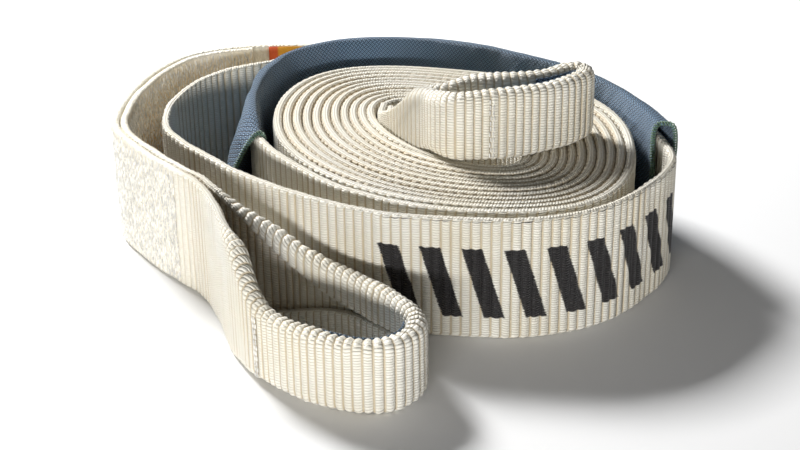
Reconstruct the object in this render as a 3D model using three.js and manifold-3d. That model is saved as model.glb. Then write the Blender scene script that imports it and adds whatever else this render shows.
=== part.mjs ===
// Recovery strap, wound up and standing on edge: one long woven nylon webbing with a folded, sewn eye
// at each end, a loose protective sleeve round it, a liner in each eye and a small label.
// Millimetres, +Z up. The origin is the middle of the footprint, on the floor.
//
// Places in the plan are told as on a clock: an angle in degrees that grows clockwise seen from above,
// 0 at the front (-Y), 90 at the left (-X), and a distance from the middle of the wound coil.

import * as THREE from 'three';
import { mergeVertices } from 'three/addons/utils/BufferGeometryUtils.js';
import Module from 'manifold-3d';

// Driving dimensions: the webbing and its winding.
const strapWidth = 76.2;
const strapThickness = 5;
const turnPitch = 6.05;
const turnCount = 11.68;
const startClock = 135;
const boreLength = 116;
const boreWidth = 56;
const boreClock = 320;
const oval = { share: 0.053, clock: 86 };
const egg = { share: 0.03, clock: 3 };
const grooveDepth = 4;
const contactGap = 0.3;
const cornerShare = 0.28;

// Driving dimensions: sleeve, eyes, liners and label. A liner's span counts the points of its eye's loop.
const sleeveWidth = 88;
const sleeveWall = 1.2;
const sleeveEase = 0.5;
const sleeveStart = 84;
const sleeveEnd = 278;
const eyeHeight = 45;
const outerEyeThickness = 12;
const innerEyeThickness = 10;
const layerGap = 0.5;
const looseLayerGap = 1.5;
const linerThickness = 1.2;
const linerHeight = 38;
const outerLinerSpan = { from: 8, to: 13 };
const innerLinerSpan = { from: 3, to: 12 };
const labelThickness = 0.8;
const labelHeight = 34;
const labelInset = 1;
const labelSetback = 10;

// Sampling of the curves, and how near two corners are welded into one.
const turnSteps = 36;
const spanSteps = 3;
const weldDistance = 1e-4;

// Directions on the clock, and the inside of the winding: an oval bore.

function clockDirection(clock) {
  const angle = THREE.MathUtils.degToRad(clock);
  return new THREE.Vector2(-Math.sin(angle), -Math.cos(angle));
}

function boreRadius(clock) {
  const angle = THREE.MathUtils.degToRad(clock - boreClock);
  const long = boreLength / 2;
  const short = boreWidth / 2;
  return (long * short) / Math.hypot(short * Math.cos(angle), long * Math.sin(angle));
}

// The turns lie a little looser on some sides than on others, which makes the coil oval.
function pitchAt(clock) {
  const twice = 2 * THREE.MathUtils.degToRad(clock - oval.clock);
  const thrice = 3 * THREE.MathUtils.degToRad(clock - egg.clock);
  return turnPitch * (1 + oval.share * Math.cos(twice) + egg.share * Math.cos(thrice));
}

// A point of the winding: `turns` counts from the inner end, `depth` goes outwards through the webbing.
function windingPoint(turns, depth) {
  const clock = startClock + 360 * turns;
  const radius = boreRadius(clock) + turns * pitchAt(clock) + depth;
  return clockDirection(clock).multiplyScalar(radius);
}

// A point outside the coil, `gap` outwards from where the next turn would start.
function outsidePoint(clock, gap) {
  const radius = boreRadius(clock) + turnCount * pitchAt(clock) + gap;
  return clockDirection(clock).multiplyScalar(radius);
}

// Closed meshes from rings of corner points: one ring for each station along a path.

function solidFromRings(rings, isTube) {
  const ringSize = rings[0].length;
  const half = ringSize / 2;
  const positions = rings.flat().flatMap((corner) => [corner.x, corner.y, corner.z]);
  const faces = [];
  const quad = (a, b, c, d) => faces.push(a, b, c, a, c, d);
  const wall = (first, size, outward) => {
    for (let ring = 0; ring < rings.length - 1; ring += 1) {
      for (let side = 0; side < size; side += 1) {
        const next = (side + 1) % size;
        const here = ring * ringSize + first;
        const there = here + ringSize;
        if (outward) quad(here + side, here + next, there + next, there + side);
        else quad(here + side, there + side, there + next, here + next);
      }
    }
  };
  const last = (rings.length - 1) * ringSize;
  if (isTube) {
    wall(0, half, true);
    wall(half, half, false);
    for (let side = 0; side < half; side += 1) {
      const next = (side + 1) % half;
      quad(side, side + half, next + half, next);
      quad(last + side, last + next, last + next + half, last + side + half);
    }
  } else {
    wall(0, ringSize, true);
    for (let side = 1; side < ringSize - 1; side += 1) {
      faces.push(0, side + 1, side);
      faces.push(last, last + side, last + side + 1);
    }
  }
  const geometry = new THREE.BufferGeometry();
  geometry.setAttribute('position', new THREE.Float32BufferAttribute(positions, 3));
  geometry.setIndex(faces);
  geometry.computeVertexNormals();
  return geometry;
}

// The corners of a band's section at a station, anticlockwise seen along the path.
// A rounded band has its four corners cut off.
function bandCorners(station, grow, rounded) {
  const { place, across } = station;
  const side = station.thickness / 2 + grow;
  const bottom = station.bottom;
  const top = station.top;
  const cut = rounded ? station.thickness * cornerShare : 0;
  const outline = rounded
    ? [[-side + cut, bottom], [side - cut, bottom], [side, bottom + cut], [side, top - cut],
      [side - cut, top], [-side + cut, top], [-side, top - cut], [-side, bottom + cut]]
    : [[-side, bottom], [side, bottom], [side, top], [-side, top]];
  return outline.map(([sideways, height]) => new THREE.Vector3(
    place.x + across.x * sideways, place.y + across.y * sideways, height));
}

// A smooth route through hand-placed points. Each point also carries the band's bottom, top and
// thickness, which change evenly between the points. `across` points to the left of the route.
function stationsAlong(points, steps = spanSteps) {
  const curve = new THREE.CatmullRomCurve3(
    points.map((point) => new THREE.Vector3(point.place.x, point.place.y, 0)), false, 'centripetal');
  const spans = points.length - 1;
  const count = spans * steps;
  return Array.from({ length: count + 1 }, (_, index) => {
    const share = index / count;
    const span = Math.min(Math.floor(share * spans), spans - 1);
    const within = share * spans - span;
    const mix = (key) => THREE.MathUtils.lerp(points[span][key], points[span + 1][key], within);
    const tangent = curve.getTangent(share);
    const place = curve.getPoint(share);
    return {
      place: new THREE.Vector2(place.x, place.y),
      across: new THREE.Vector2(-tangent.y, tangent.x),
      bottom: mix('bottom'),
      top: mix('top'),
      thickness: mix('thickness'),
    };
  });
}

function bandSolid(stations, rounded = false) {
  return solidFromRings(stations.map((station) => bandCorners(station, 0, rounded)), false);
}

// The wound coil: one solid between the bore and the outer turn, with the gaps between its turns
// cut into both ends.

function windingLine(fromTurn, toTurn, depth) {
  const steps = Math.ceil((toTurn - fromTurn) * turnSteps);
  return Array.from({ length: steps + 1 }, (_, index) => windingPoint(
    fromTurn + ((toTurn - fromTurn) * index) / steps, depth));
}

function extrude(shape, height, bottom) {
  const geometry = new THREE.ExtrudeGeometry(shape, { depth: height, bevelEnabled: false });
  geometry.translate(0, 0, bottom);
  return geometry;
}

const wasm = await Module();
wasm.setup();

function toManifold(geometry) {
  const bare = geometry.clone();
  bare.deleteAttribute('normal');
  bare.deleteAttribute('uv');
  const merged = mergeVertices(bare, weldDistance);
  return new wasm.Manifold(new wasm.Mesh({
    numProp: 3,
    vertProperties: Float32Array.from(merged.attributes.position.array),
    triVerts: Uint32Array.from(merged.index.array),
  }));
}

function toGeometry(manifold) {
  const mesh = manifold.getMesh();
  const geometry = new THREE.BufferGeometry();
  geometry.setAttribute('position', new THREE.BufferAttribute(mesh.vertProperties, 3));
  geometry.setIndex(new THREE.BufferAttribute(mesh.triVerts, 1));
  geometry.computeVertexNormals();
  return geometry;
}

function coilGeometry() {
  const outline = new THREE.Shape(windingLine(turnCount - 1, turnCount, strapThickness).reverse());
  outline.holes.push(new THREE.Path(windingLine(0, 1, 0)));
  const body = toManifold(extrude(outline, strapWidth, 0));
  const outerSide = windingLine(0, turnCount - 1, strapThickness);
  const innerSide = windingLine(1, turnCount, 0);
  const groove = new THREE.Shape([...outerSide, ...innerSide.reverse()]);
  const overshoot = 1;
  const lower = toManifold(extrude(groove, grooveDepth + overshoot, -overshoot));
  const upper = toManifold(extrude(groove, grooveDepth + overshoot, strapWidth - grooveDepth));
  return toGeometry(body.subtract(lower).subtract(upper));
}

// The loose turns. Each row is a clock angle, counted on past 360, and the gap from the coil to the
// webbing's inner face. The webbing leaves the coil at the front left, goes round the left, the back
// and the right inside the sleeve, and once more round the front and the left to the back. There,
// behind the sleeve, it turns back on itself, and its last stretch runs round the left to the eye.
const leaveClock = (startClock + 360 * turnCount) % 360;
const seam = 0.5;
const hairpinClock = 556;

const sleeveTurnRoute = [
  [leaveClock + seam, 0.4], [40, 0.9], [58, 1.6], [70, 5], [sleeveStart, 9], [94, 10.5], [107, 11.5],
  [122, 15], [136, 18], [150, 20.5], [164, 21.5], [178, 20.5], [192, 16.5], [206, 10.5], [222, 7.5],
  [240, 7], [255, 8.5], [264, 11.5], [271, 15], [sleeveEnd, 19],
];

const frontTurnRoute = [
  [sleeveEnd + seam, 19], [287, 23.5], [297, 19.5], [305, 14.5], [313, 10], [322, 8.2], [334, 8.6],
  [348, 9.6], [362, 11], [374, 14.5], [386, 18], [398, 20.5], [410, 26], [420, 32], [430, 39],
  [438, 47], [446, 57.5], [453, 65.5], [460, 67.5], [469, 66], [478, 61.5], [486, 51], [494, 39.5],
  [504, 32], [516, 30], [530, 29.5], [544, 27.5], [hairpinClock, 24],
  [hairpinClock + 4.5, 25.5], [hairpinClock + 8, 31.5], [hairpinClock + 4.5, 37.2],
  [hairpinClock + seam, 38.5],
];

const spliceRoute = [
  [hairpinClock, 38.5], [544, 40], [530, 41], [518, 43], [508, 49], [502, 59], [496, 72], [490, 86],
  [484, 94.5], [476, 98], [468, 98.5], [460, 99], [452, 96.5], [446, 88.5], [440, 79], [434.5, 71.5],
  [429.5, 66.5], [425, 62],
];
const shortLayerEnd = 496;

function onRun([clock, gap], lift = 0, offset = strapThickness / 2) {
  return {
    place: outsidePoint(clock, gap + offset),
    bottom: lift,
    top: lift + strapWidth,
    thickness: strapThickness,
  };
}

// Inside the sleeve the webbing stands on the sleeve's lower fold.
const sleeveFloor = sleeveWall + contactGap;
const settlingTurn = 40;

function sleeveTurnPoints() {
  const { smoothstep } = THREE.MathUtils;
  return sleeveTurnRoute.map((row) => onRun(
    row, sleeveFloor * smoothstep(row[0], sleeveStart - settlingTurn, sleeveStart)));
}

function frontTurnPoints() {
  const { smoothstep } = THREE.MathUtils;
  return frontTurnRoute.map((row) => onRun(
    row, sleeveFloor * (1 - smoothstep(row[0], sleeveEnd, sleeveEnd + settlingTurn))));
}

// The outer eye. Past the split of its two sewn layers the webbing is folded in along both edges, so
// the band gets lower and thicker. Each row is the distance ahead of the split, the distance to its
// left, and the share of the folding that is done there.
const outerEyeLoop = [
  [17, -7, 0], [34, -14, 0], [51, -23, 0.03], [68, -30.5, 0.15], [81, -34.5, 0.45], [92, -36.5, 0.85],
  [106, -37.5, 1],
  [122, -37, 1], [138, -34, 1], [153, -29.5, 1], [166, -22, 1], [173.5, -11, 1], [174, 2, 1],
  [168, 13, 1], [157, 20, 1], [142, 23, 1], [124, 23.5, 1], [107, 22, 0.97], [90, 18, 0.88],
  [74, 13, 0.7], [57, 9, 0.5], [42, 5, 0.33], [27, 2, 0.18], [14, 0.5, 0.06],
];

function foldedBand(place, bottom, share, thickness) {
  return {
    place,
    bottom,
    top: bottom + THREE.MathUtils.lerp(strapWidth, eyeHeight, share),
    thickness: THREE.MathUtils.lerp(strapThickness, thickness, share),
  };
}

function outerEyePoints() {
  const long = spliceRoute.map((row) => onRun(row));
  const under = -strapThickness / 2 - layerGap;
  const short = spliceRoute.filter(([clock]) => clock <= shortLayerEnd).reverse()
    .map((row) => onRun(row, 0, under));
  const middle = (a, b) => a.place.clone().add(b.place).multiplyScalar(0.5);
  const split = middle(long.at(-1), short[0]);
  const ahead = split.clone().sub(middle(long.at(-2), short[1])).normalize();
  const left = new THREE.Vector2(-ahead.y, ahead.x);
  const loop = outerEyeLoop.map(([forward, sideways, share]) => foldedBand(
    split.clone().addScaledVector(ahead, forward).addScaledVector(left, sideways),
    0, share, outerEyeThickness));
  return [...long, ...loop, ...short];
}

// The inner eye. The webbing's inner end climbs out of the bore along its left wall, lies on top of
// the coil as a folded loop and comes back along itself. Rows of the climb: turns before the start of
// the winding, height of the lower and upper edges. Rows of the loop: place from the middle of the
// coil, share of the folding.
const innerEyeClimb = [
  [-0.012, 0, 1], [-0.07, 0.08, 1.076], [-0.13, 0.26, 1.19], [-0.19, 0.57, 1.33], [-0.25, 0.96, 1.45],
];
const innerEyeLoop = [
  [-12.5, -27, 1.25], [-4, -39, 1.1], [5, -46, 1.03], [21, -45, 1], [37, -41.5, 1], [53, -35.5, 1],
  [67, -27, 1], [77, -17.5, 1], [82, -9, 1], [80, -2, 1], [72, -2, 1], [62, -9.5, 1], [50, -15.5, 1],
  [37, -18.5, 1], [24, -19.5, 1], [11, -20.5, 1], [-1, -23.5, 1.15],
];

function innerEyePoints() {
  const long = innerEyeClimb.map(([turns, low, high]) => ({
    place: windingPoint(turns, strapThickness / 2 - contactGap),
    bottom: low * strapWidth,
    top: high * strapWidth,
    thickness: strapThickness,
  }));
  const loop = innerEyeLoop.map(([x, y, share]) => foldedBand(
    new THREE.Vector2(x, y), strapWidth + contactGap, share, innerEyeThickness));
  const inward = strapThickness + looseLayerGap;
  const short = [...long].reverse().map((point) => {
    const radius = point.place.length();
    return { ...point, place: point.place.clone().multiplyScalar((radius - inward) / radius) };
  });
  return [...long, ...loop, ...short];
}

// The sleeve: a flat tube that follows the webbing inside it.
function sleeveGeometry(stations) {
  const rings = stations.map((station) => {
    const clear = sleeveEase;
    const outer = bandCorners({ ...station, bottom: 0, top: sleeveWidth }, clear + sleeveWall, false);
    const inner = bandCorners(
      { ...station, bottom: sleeveWall, top: sleeveWidth - sleeveWall }, clear, false);
    return [...outer, ...inner];
  });
  return solidFromRings(rings, true);
}

// A thin strip against the inner face of a band: `place` gives the heights of its edges.
function stripStations(stations, thickness, heights) {
  return stations.map((station) => {
    const [bottom, top] = heights(station);
    const inwards = station.thickness / 2 + contactGap + thickness / 2;
    const place = station.place.clone().addScaledVector(station.across, inwards);
    return { ...station, place, bottom, top, thickness };
  });
}

function linerStations(stations) {
  return stripStations(stations, linerThickness, ({ bottom, top }) => {
    const middle = (bottom + top) / 2;
    return [middle - linerHeight / 2, middle + linerHeight / 2];
  });
}

function labelStations(stations) {
  const top = strapWidth - labelInset;
  return stripStations(stations, labelThickness, () => [top - labelHeight, top]);
}

// The pieces.

const webbingNylon = new THREE.MeshStandardMaterial({ color: 0xe9e3d0, roughness: 0.75, metalness: 0 });
const sleeveNylon = new THREE.MeshStandardMaterial({ color: 0x3f5f80, roughness: 0.8, metalness: 0 });
const labelCloth = new THREE.MeshStandardMaterial({ color: 0xf0a020, roughness: 0.7, metalness: 0 });

const strap = new THREE.Group();

function addPiece(name, geometry, material) {
  const mesh = new THREE.Mesh(geometry, material);
  mesh.name = name;
  strap.add(mesh);
}

// The stations between two of the points that a route was made from.
function between(stations, firstPoint, lastPoint) {
  return stations.slice(firstPoint * spanSteps, lastPoint * spanSteps + 1);
}

const sleeveTurn = stationsAlong(sleeveTurnPoints());
const frontTurn = stationsAlong(frontTurnPoints());
const outerEye = stationsAlong(outerEyePoints());
const innerEye = stationsAlong(innerEyePoints());
const sleeveFirstPoint = sleeveTurnRoute.findIndex(([clock]) => clock === sleeveStart);
const outerEyeFirst = spliceRoute.length;
const innerEyeFirst = innerEyeClimb.length;
const labelFirst = spliceRoute.findIndex(([clock]) => clock < shortLayerEnd + labelSetback);

addPiece('coil', coilGeometry(), webbingNylon);
addPiece('sleeve_turn', bandSolid(sleeveTurn), webbingNylon);
addPiece('front_turn', bandSolid(frontTurn), webbingNylon);
addPiece('outer_eye', bandSolid(outerEye, true), webbingNylon);
addPiece('inner_eye', bandSolid(innerEye, true), webbingNylon);
addPiece('sleeve', sleeveGeometry(
  between(sleeveTurn, sleeveFirstPoint, sleeveTurnRoute.length - 1)), sleeveNylon);
addPiece('outer_eye_liner', bandSolid(linerStations(
  between(outerEye, outerEyeFirst + outerLinerSpan.from, outerEyeFirst + outerLinerSpan.to))), sleeveNylon);
addPiece('inner_eye_liner', bandSolid(linerStations(
  between(innerEye, innerEyeFirst + innerLinerSpan.from, innerEyeFirst + innerLinerSpan.to))), sleeveNylon);
addPiece('label', bandSolid(labelStations(
  between(outerEye, labelFirst - 1, labelFirst + 1).slice(1, -1))), labelCloth);

// The origin goes to the middle of the footprint.
const footprint = new THREE.Box3().setFromObject(strap).getCenter(new THREE.Vector3());
strap.position.set(-footprint.x, -footprint.y, 0);

export default strap;
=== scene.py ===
# %% [markdown]
# A recovery strap lies wound up on its edges. It is one long nylon webbing with a folded, sewn eye at
# each end, a loose protective sleeve, two eye liners and a small label. This lesson dresses the plain
# CAD solids: every soft piece is a surface worked out with numpy, and its finish is made of nodes.

# %% The tools and the fixed frame
import math

import bpy
import numpy as np
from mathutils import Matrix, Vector


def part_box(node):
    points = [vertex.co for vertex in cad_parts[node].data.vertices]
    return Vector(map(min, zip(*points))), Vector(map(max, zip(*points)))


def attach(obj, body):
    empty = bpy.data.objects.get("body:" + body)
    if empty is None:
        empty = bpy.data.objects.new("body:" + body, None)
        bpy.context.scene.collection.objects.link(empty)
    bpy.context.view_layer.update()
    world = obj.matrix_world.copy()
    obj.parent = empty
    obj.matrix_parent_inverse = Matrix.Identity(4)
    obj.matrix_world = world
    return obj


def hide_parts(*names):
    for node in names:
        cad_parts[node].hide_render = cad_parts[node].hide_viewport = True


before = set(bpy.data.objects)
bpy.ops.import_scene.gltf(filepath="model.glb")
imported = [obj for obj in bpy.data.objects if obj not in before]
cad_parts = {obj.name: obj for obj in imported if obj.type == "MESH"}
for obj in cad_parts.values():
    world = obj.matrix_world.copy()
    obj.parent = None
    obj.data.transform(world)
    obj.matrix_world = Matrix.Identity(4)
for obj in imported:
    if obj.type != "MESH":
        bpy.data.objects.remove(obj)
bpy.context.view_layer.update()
scene = bpy.context.scene
print("the frame's nodes:", ", ".join(sorted(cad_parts)))

# %% [markdown]
# The winding is told in the plan as on a clock: an angle that grows clockwise seen from above, with 0
# at the front and 90 at the left, and a distance from the coil's middle. The coil is a spiral round
# an oval bore. These are the same driving values as in the CAD source, in millimetres.

# %% The winding's shape in the plan
MM = 0.001
STRAP_WIDTH = 76.2
STRAP_THICKNESS = 5.0
TURN_PITCH = 6.05
TURN_COUNT = 11.68
START_CLOCK = 135.0
BORE_LENGTH = 116.0
BORE_WIDTH = 56.0
BORE_CLOCK = 320.0
OVAL_SHARE, OVAL_CLOCK = 0.053, 86.0
EGG_SHARE, EGG_CLOCK = 0.03, 3.0
LEAVE_CLOCK = (START_CLOCK + 360 * TURN_COUNT) % 360


def clock_direction(clock):
    """Unit vectors in the plan: minus the sine and minus the cosine of the clock angle."""
    angle = np.radians(clock)
    return np.stack([-np.sin(angle), -np.cos(angle)], axis=-1)


def bore_radius(clock):
    """The polar radius of an ellipse whose long axis points to BORE_CLOCK."""
    angle = np.radians(clock - BORE_CLOCK)
    long, short = BORE_LENGTH / 2, BORE_WIDTH / 2
    return long * short / np.hypot(short * np.cos(angle), long * np.sin(angle))


def pitch_at(clock):
    """The distance from turn to turn, a little wider on some sides: one plus two cosines."""
    twice = 2 * np.radians(clock - OVAL_CLOCK)
    thrice = 3 * np.radians(clock - EGG_CLOCK)
    return TURN_PITCH * (1 + OVAL_SHARE * np.cos(twice) + EGG_SHARE * np.cos(thrice))


def winding_point(turns, depth):
    """A point of the spiral: the bore's radius, plus the turns times their pitch, plus the depth."""
    clock = START_CLOCK + 360 * np.asarray(turns, float)
    radius = bore_radius(clock) + turns * pitch_at(clock) + depth
    return clock_direction(clock) * radius[..., None]


def outside_point(clock, gap):
    """A point outside the coil, gap outwards from where the next turn would start."""
    clock = np.asarray(clock, float)
    radius = bore_radius(clock) + TURN_COUNT * pitch_at(clock) + gap
    return clock_direction(clock) * radius[..., None]


def middle_of_coil():
    """Where the coil's middle is in the frame: its solid's low corner less the outline's."""
    outline = winding_point(np.linspace(TURN_COUNT - 1, TURN_COUNT, 721), STRAP_THICKNESS)
    low = np.array(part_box("coil")[0])[:2] / MM
    return low - outline.min(axis=0)


COIL_MIDDLE = middle_of_coil()
print("the coil's middle, mm:", COIL_MIDDLE.round(2))

# %% [markdown]
# The camera comes early, because everything else is judged through it. It looks slightly down on the
# strap from the front with a long lens, and a small shift puts the strap where the photograph has it.

# %% The camera
CAMERA_LENS = 73.69
CAMERA_SHIFT = (-0.065, -0.0688)
CAMERA_AIM = (COIL_MIDDLE[0] + 1.6, COIL_MIDDLE[1] + 22.3, 38.1)
CAMERA_FROM_AIM = (0.0, -951.6, 443.7)


def make_camera():
    """A camera that looks at the aim from the given offset, both in millimetres."""
    data = bpy.data.cameras.new("camera")
    data.lens = CAMERA_LENS
    data.sensor_width = 36.0
    data.shift_x, data.shift_y = CAMERA_SHIFT
    data.clip_end = 20.0
    camera = bpy.data.objects.new("camera", data)
    camera.location = (Vector(CAMERA_AIM) + Vector(CAMERA_FROM_AIM)) * MM
    camera.rotation_mode = "QUATERNION"
    camera.rotation_quaternion = (-Vector(CAMERA_FROM_AIM)).to_track_quat("-Z", "Y")
    scene.collection.objects.link(camera)
    return camera


scene.camera = make_camera()
scene.view_settings.view_transform = "Standard"

# %% [markdown]
# A run is a stretch of webbing seen from above: a smooth line through a few chosen points, with the
# webbing's lower and upper edge, its fold and the spacing of its ribs along it. The line is a
# centripetal Catmull-Rom curve, which passes through its points without loops. Its stations are
# spaced evenly in ribs and not in millimetres, so each rib gets the same few rows of vertices.

# %% Smooth runs through chosen points
RUN_COLUMNS = ("bottom", "height", "fold", "rib_pitch", "rib_depth", "stitched")
ROWS_PER_RIB = 6
FINE_STEP = 0.3


def catmull_rom(points, columns, substeps=16):
    """Cubic Hermite spans whose slopes come from neighbours weighed by the root of their distance."""
    ends = (2 * points[:1] - points[1:2], 2 * points[-1:] - points[-2:-1])
    line = np.concatenate([ends[0], points, ends[1]])
    p0, p1, p2, p3 = line[:-3], line[1:-2], line[2:-1], line[3:]
    root = lambda a, b: np.sqrt(np.linalg.norm(b - a, axis=1))[:, None]
    d0, d1, d2 = root(p0, p1), root(p1, p2), root(p2, p3)
    slope1 = ((p1 - p0) / d0 - (p2 - p0) / (d0 + d1) + (p2 - p1) / d1) * d1
    slope2 = ((p2 - p1) / d1 - (p3 - p1) / (d1 + d2) + (p3 - p2) / d2) * d1
    t = (np.arange(substeps) / substeps)[None, :, None]
    spans = (
        (2 * t**3 - 3 * t**2 + 1) * p1[:, None]
        + (t**3 - 2 * t**2 + t) * slope1[:, None]
        + (3 * t**2 - 2 * t**3) * p2[:, None]
        + (t**3 - t**2) * slope2[:, None]
    )
    mixed = columns[:-1, None] * (1 - t) + columns[1:, None] * t
    place = np.concatenate([spans.reshape(-1, 2), points[-1:]])
    return place, np.concatenate([mixed.reshape(-1, columns.shape[1]), columns[-1:]])


def smoothed(values, reach):
    """A running mean, taken twice, over 2 * reach + 1 rows, with the end rows repeated."""
    for _ in range(2):
        padded = np.pad(values, [(reach, reach)] + [(0, 0)] * (values.ndim - 1), mode="edge")
        sums = np.cumsum(np.concatenate([np.zeros_like(padded[:1]), padded]), axis=0)
        values = (sums[2 * reach + 1 :] - sums[: -2 * reach - 1]) / (2 * reach + 1)
    return values


def unit(vectors):
    """Each vector divided by its length."""
    return vectors / np.linalg.norm(vectors, axis=-1, keepdims=True)


def distance_along(points):
    """How far each point of a line is from the first one, measured along the line."""
    steps = np.linalg.norm(np.diff(points, axis=0), axis=1)
    return np.concatenate([[0], np.cumsum(steps)])


def distance_round(points):
    """The same round the closed sections of a grid and back to the start, the mean of all stations."""
    steps = np.linalg.norm(np.diff(points, axis=1, append=points[:, :1]), axis=2).mean(axis=0)
    return np.concatenate([[0], np.cumsum(steps)])


def resampled(at, known, values):
    """Linear interpolation of each column of values."""
    return np.stack([np.interp(at, known, column) for column in values.T], axis=1)


def make_run(points, columns, rows_per_rib=ROWS_PER_RIB, blur=8.0):
    """A run as arrays by station: place, across (to its left), along in mm, rib count and columns."""
    place, mixed = catmull_rom(np.asarray(points, float), np.asarray(columns, float))
    along = distance_along(place)
    fine = np.arange(0, along[-1], FINE_STEP)
    fine = np.append(fine, along[-1])
    place = resampled(fine, along, place)
    mixed = smoothed(resampled(fine, along, mixed), int(blur / FINE_STEP))
    tangent = smoothed(np.gradient(place, fine, axis=0), int(1.5 / FINE_STEP))
    ribs = np.concatenate([[0], np.cumsum(np.diff(fine) / mixed[1:, RUN_COLUMNS.index("rib_pitch")])])
    stations = np.arange(0, ribs[-1], 1 / rows_per_rib)
    stations = np.append(stations, ribs[-1])
    tangent = unit(resampled(stations, ribs, tangent))
    values = resampled(stations, ribs, mixed)
    run = {name: values[:, i] for i, name in enumerate(RUN_COLUMNS)}
    run["place"] = resampled(stations, ribs, place) + COIL_MIDDLE
    run["across"] = np.stack([-tangent[:, 1], tangent[:, 0]], axis=1)
    run["along"] = np.interp(stations, ribs, fine)
    run["ribs"] = stations
    return run


# %% [markdown]
# The webbing's section is a thin band with rounded edges, a little flatter than half-round. In the
# eyes both its sides are folded in until their edges meet, which makes the loop lower and twice as
# thick. One formula covers both: the middle line of the section is straight up to the fold, turns half
# round it, and comes back.

# %% The webbing's section
FOLD_RADIUS = 3.25
EYE_HEIGHT = 45.0
FOLD_START = EYE_HEIGHT / 2 - FOLD_RADIUS - STRAP_THICKNESS / 2
FOLDED_HALF = 2 * FOLD_START + math.pi * FOLD_RADIUS - STRAP_THICKNESS / 2


def squareness(turn, power=3.2):
    """How much farther out a rounded square lies than a circle: one over the power mean of the
    cosine and the sine. It makes the webbing's edges flatter than half-round."""
    return (np.abs(np.cos(turn)) ** power + np.abs(np.sin(turn)) ** power) ** (-1 / power)


def section_loop(face_points, cap_points):
    """The section's points in order: the share of the way up, and the angle round the middle line."""
    up = np.linspace(-1, 1, face_points)
    cap = np.linspace(0, math.pi, cap_points + 2)[1:-1]
    share = np.concatenate([up, np.ones(cap_points), up[::-1], -np.ones(cap_points)])
    turn = np.concatenate(
        [np.zeros(face_points), cap, np.full(face_points, math.pi), math.pi + cap]
    )
    return share, turn


def section_points(run, share, turn, half_thickness):
    """Sideways and upward offsets and normals of the section's points, one row for each station.
    Past the fold's start the middle line follows a half circle towards the left, and then goes
    straight back: sideways R(1 - cos a), upwards start + R sin a - what is left over."""
    fold = run["fold"][:, None]
    straight_half = run["height"][:, None] / 2 - half_thickness
    half = straight_half + (FOLDED_HALF - STRAP_WIDTH / 2 + half_thickness) * fold
    start = straight_half + (FOLD_START - STRAP_WIDTH / 2 + half_thickness) * fold
    reach = np.abs(share)[None] * half
    bend = np.clip((reach - start) / FOLD_RADIUS, 0, math.pi)
    rest = np.maximum(reach - start - math.pi * FOLD_RADIUS, 0)
    sign = np.sign(share)[None]
    sideways = FOLD_RADIUS * (1 - np.cos(bend))
    upwards = sign * (np.minimum(reach, start) + FOLD_RADIUS * np.sin(bend) - rest)
    forward = np.stack([sign * np.sin(bend), np.cos(bend)], axis=-1)
    left = np.stack([forward[..., 1], -forward[..., 0]], axis=-1)
    normal = np.cos(turn)[None, :, None] * left + np.sin(turn)[None, :, None] * forward
    return sideways, upwards, normal


# %% [markdown]
# Heavy webbing is woven with thick weft ropes that lie across it and show as ribs. Each rib is a small
# round ridge, and between two ribs is a sharp valley, which the absolute value of a cosine draws well.
# The ribs of the two faces are half a rib apart, and over the edge they turn into the selvage's beads.

# %% Ribs, beads and slow waves
def wander(at, seed, wavelength):
    """Three sines with odd wavelengths and phases drawn from a seed, from about -1 to 1."""
    random = np.random.default_rng(seed)
    phases = random.uniform(0, 2 * math.pi, 3)
    scales = wavelength * np.array([1.0, 0.61, 0.37])
    waves = [w * np.sin(2 * math.pi * at / s + p) for w, s, p in zip((0.5, 0.3, 0.2), scales, phases)]
    return sum(waves)


def relief(run, share, turn, wave, seed):
    """How far the surface stands off the plain band: ribs, edge beads, and slow waves, in mm."""
    ribs = run["ribs"][:, None] + turn[None] / (2 * math.pi)
    sway = 0.12 * wander(run["along"][:, None] + 9 * share[None], seed, 47.0)
    uneven = 1 + 0.22 * wander(run["along"], seed + 1, 23.0)
    ridge = np.abs(np.cos(math.pi * (ribs + sway))) - 0.62
    beads = np.abs(np.cos(2 * math.pi * ribs)) - 0.62
    edge = np.abs(np.sin(turn))[None]
    depth = (run["rib_depth"] * uneven)[:, None]
    height = depth * (ridge * (1 - 0.85 * edge) + 0.14 * beads * edge)
    run["drift"] = wave * wander(run["along"], seed + 2, 61.0)
    return height + run["drift"][:, None] * np.cos(turn)[None]


# %% [markdown]
# A grid of points becomes a closed mesh with two end caps. It gets a UV map counted in ribs and picks
# (a pick is one loop of thread on a rib, 1.5 mm), and attributes that tell the material where the
# webbing is sewn, where its edge is, and where to paint a golden shade for light that bounced between
# nylon faces.

# %% From arrays to a mesh
PICK = 1.5


def grid_faces(rows, columns):
    """Quads between neighbouring stations, round the closed section, with the two ends filled."""
    row = np.arange(rows - 1)[:, None] * columns
    here = np.arange(columns)[None]
    following = (here + 1) % columns
    quads = np.stack(
        [row + here, row + following, row + columns + following, row + columns + here], axis=-1
    )
    return quads.reshape(-1, 4)


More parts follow.
